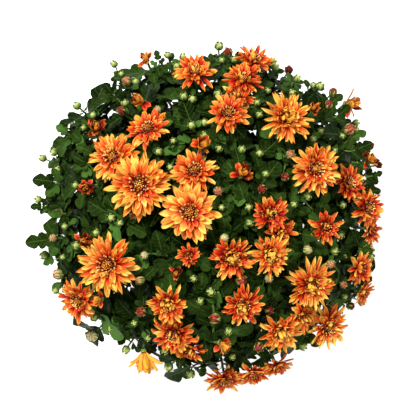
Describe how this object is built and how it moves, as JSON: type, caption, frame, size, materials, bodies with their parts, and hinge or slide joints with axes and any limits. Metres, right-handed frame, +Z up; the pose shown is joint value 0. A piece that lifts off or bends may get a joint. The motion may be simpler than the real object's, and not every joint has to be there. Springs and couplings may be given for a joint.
{
  "type": "pot chrysanthemum",
  "caption": "Low rounded flowering plant with orange layered blooms, buds and lobed leaves on branching stems, in a plain round plastic pot filled with potting mix.",
  "frame": {"origin": "centre of the pot's underside, on the plane that the pot rests on", "axes": "+Z up, out of the pot; seen from above, +X is to the right and +Y up the picture"},
  "size_m": [0.3463, 0.3535, 0.3345],
  "materials": {
    "pot_plastic": "matte",
    "potting_mix": "rough, crumbly",
    "leaf_green": "soft, matte",
    "petal_orange": "soft, matte",
    "petal_deep_orange": "soft, matte"
  },
  "bodies": {
    "root": {"pot": "pot_plastic", "potting_mix": "potting_mix", "leafy_stem_01": "leaf_green", "leafy_stem_02": "leaf_green", "leafy_stem_03": "leaf_green", "leafy_stem_04": "leaf_green", "leafy_stem_05": "leaf_green", "leafy_stem_06": "leaf_green", "leafy_stem_07": "leaf_green", "leafy_stem_08": "leaf_green", "bloom_01": "petal_orange", "bloom_02": "petal_orange", "bloom_03": "petal_orange", "bloom_04": "petal_orange", "bloom_05": "petal_orange", "bloom_06": "petal_orange", "bloom_07": "petal_orange", "bloom_08": "petal_orange", "bloom_09": "petal_orange", "bloom_10": "petal_orange", "bloom_11": "petal_orange", "bloom_12": "petal_orange", "bloom_13": "petal_orange", "bloom_14": "petal_orange", "bloom_15": "petal_orange", "bloom_16": "petal_orange", "bloom_17": "petal_orange", "bloom_18": "petal_orange", "bloom_19": "petal_orange", "bloom_20": "petal_orange", "bloom_21": "petal_orange", "bloom_22": "petal_orange", "bloom_23": "petal_orange", "bloom_24": "petal_orange", "bloom_25": "petal_orange", "bloom_26": "petal_orange", "bloom_27": "petal_orange", "bloom_28": "petal_orange", "bloom_29": "petal_orange", "bloom_30": "petal_orange", "bloom_31": "petal_orange", "bloom_32": "petal_orange", "bloom_33": "petal_orange", "bloom_34": "petal_orange", "bloom_35": "petal_orange", "bloom_36": "petal_orange", "opening_bloom_01": "petal_deep_orange", "opening_bloom_02": "petal_deep_orange", "opening_bloom_03": "petal_deep_orange", "opening_bloom_04": "petal_deep_orange", "opening_bloom_05": "petal_deep_orange", "opening_bloom_06": "petal_deep_orange", "opening_bloom_07": "petal_deep_orange", "opening_bloom_08": "petal_deep_orange", "opening_bloom_09": "petal_deep_orange", "opening_bloom_10": "petal_deep_orange", "opening_bloom_11": "petal_deep_orange", "opening_bloom_12": "petal_deep_orange", "opening_bloom_13": "petal_deep_orange", "opening_bloom_14": "petal_deep_orange"}
  },
  "joints": []
}
